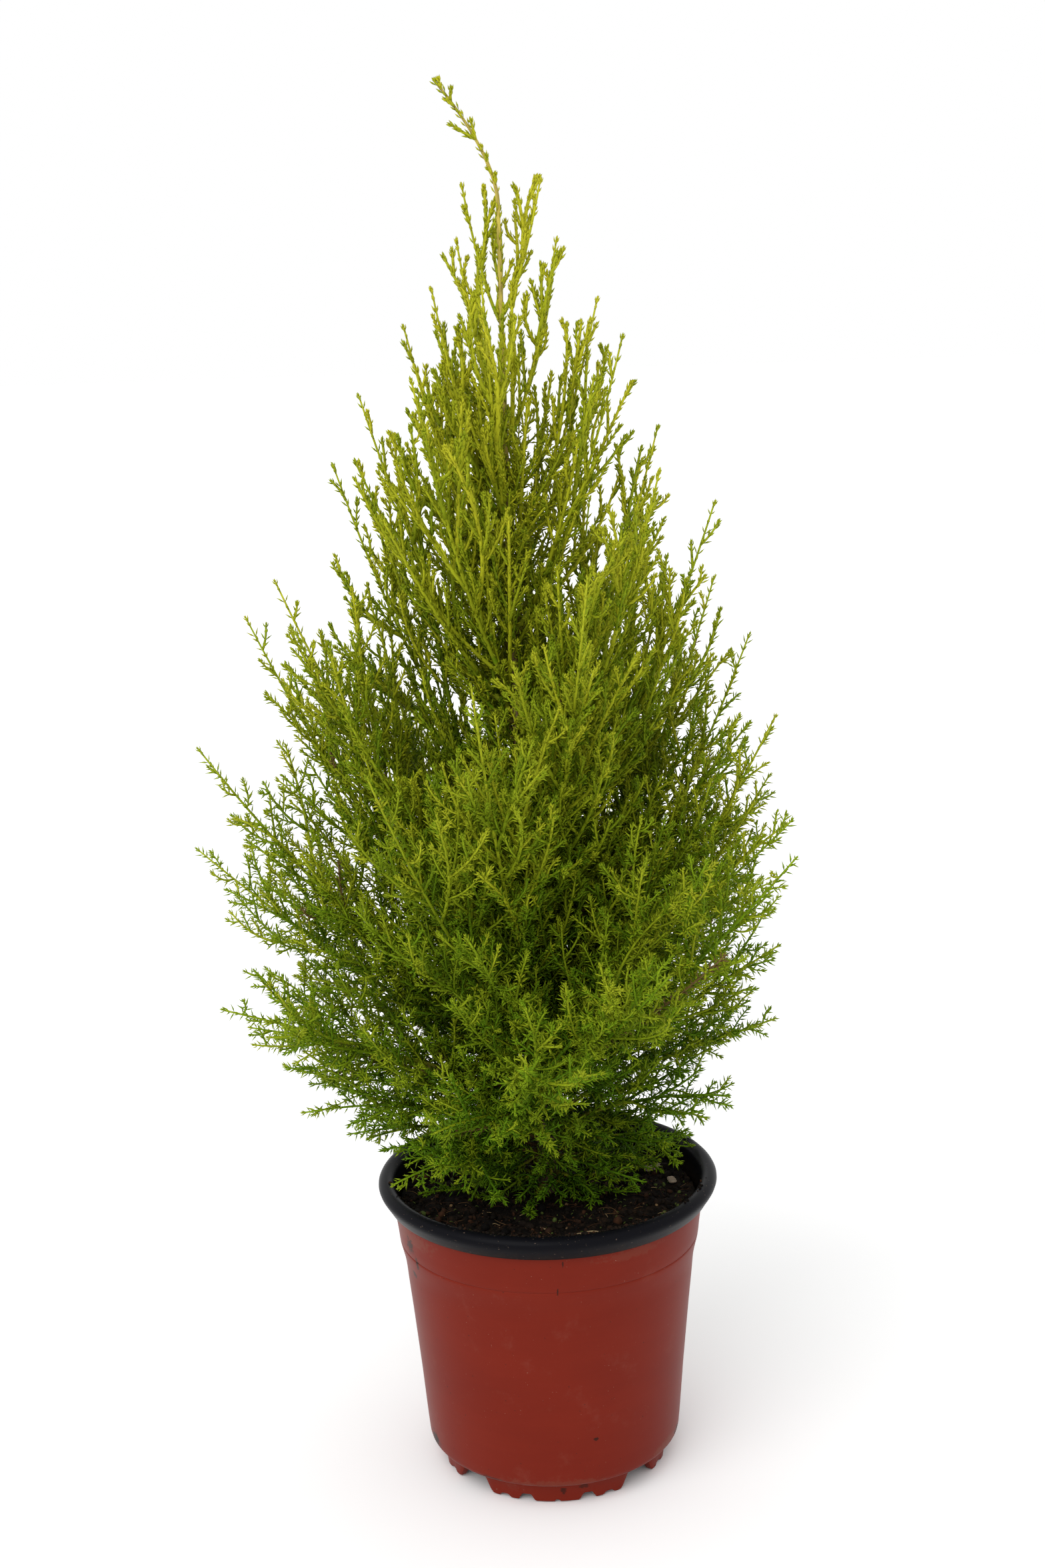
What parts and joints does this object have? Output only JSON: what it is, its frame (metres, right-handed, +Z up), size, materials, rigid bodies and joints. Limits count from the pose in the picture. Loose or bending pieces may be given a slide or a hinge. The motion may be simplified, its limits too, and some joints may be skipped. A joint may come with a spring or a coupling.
{
  "type": "potted cypress",
  "caption": "Young conical evergreen with fine yellow-green foliage on upswept branches, rooted in peat in a tapered two-colour plastic nursery pot.",
  "frame": {"origin": "on the table under the middle of the outer box; the pot's axis stands 21.5 mm to the right of it", "axes": "+Z up the trunk, -Y out of the plant's front, +X to the right as seen from the front"},
  "size_m": [0.238, 0.22, 0.554],
  "materials": {
    "pot_plastic": "terracotta outside, black inside and on the lip, satin",
    "peat": "damp dark potting peat with fibres",
    "bark": "thin tan bark",
    "foliage": "fine yellow-green awl leaves",
    "wood_chip": "weathered pale wood",
    "straw": "dry straw"
  },
  "bodies": {
    "root": {"branch_01": "foliage", "branch_02": "foliage", "branch_03": "foliage", "branch_04": "foliage", "branch_05": "foliage", "branch_06": "foliage", "branch_07": "foliage", "branch_08": "foliage", "branch_09": "foliage", "branch_10": "foliage", "branch_11": "foliage", "branch_12": "foliage", "branch_13": "foliage", "branch_14": "foliage", "branch_15": "foliage", "branch_16": "foliage", "branch_17": "foliage", "branch_18": "foliage", "branch_19": "foliage", "branch_20": "foliage", "branch_21": "foliage", "branch_22": "foliage", "branch_23": "foliage", "branch_24": "foliage", "branch_25": "foliage", "branch_26": "foliage", "branch_27": "foliage", "branch_28": "foliage", "branch_29": "foliage", "branch_30": "foliage", "branch_31": "foliage", "branch_32": "foliage", "branch_33": "foliage", "branch_34": "foliage", "branch_35": "foliage", "branch_36": "foliage", "branch_37": "foliage", "branch_38": "foliage", "branch_39": "foliage", "branch_40": "foliage", "branch_41": "foliage", "branch_42": "foliage", "branch_43": "foliage", "branch_44": "foliage", "branch_45": "foliage", "branch_46": "foliage", "branch_47": "foliage", "branch_48": "foliage", "pot": "pot_plastic", "soil": "peat", "straw_1": "straw", "straw_2": "straw", "straw_3": "straw", "trunk": "bark", "wood_chip_1": "wood_chip", "wood_chip_2": "wood_chip"}
  },
  "joints": []
}
